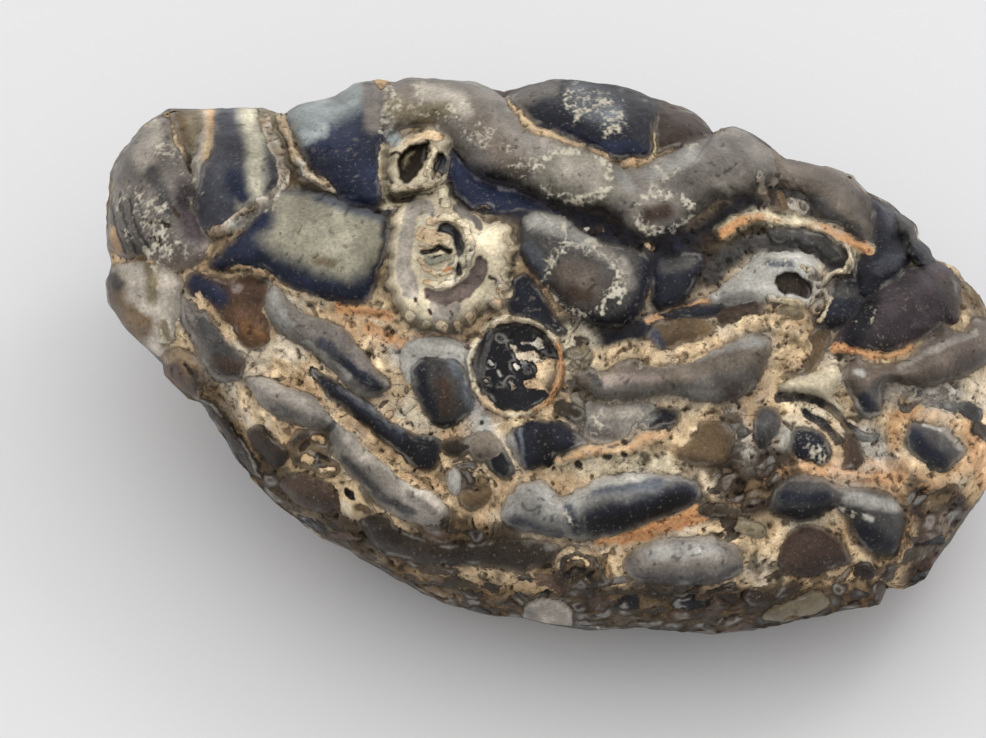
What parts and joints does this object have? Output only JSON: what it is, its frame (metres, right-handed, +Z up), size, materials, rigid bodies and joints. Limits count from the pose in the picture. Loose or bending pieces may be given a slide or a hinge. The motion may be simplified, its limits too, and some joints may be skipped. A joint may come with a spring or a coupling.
{
  "type": "agate geode",
  "caption": "Natural chalcedony nodule lying on its flattest side, its knobbly face of packed rounded swellings, pits and crusted hollows turned up and forward.",
  "frame": {"origin": "middle of the stone's footprint box, at the level of the surface it lies on", "axes": "+Z up, +X along the stone's length to the right as seen from its knobbly face, +Y away from the viewer of that face"},
  "size_m": [0.0968, 0.0676, 0.0419],
  "materials": {
    "chalcedony": "waxy grey, slate-blue and brown chalcedony swellings, with a dull cream and orange-stained crumbly crust between them"
  },
  "bodies": {
    "root": {"agate_nodule": "chalcedony"}
  },
  "joints": []
}
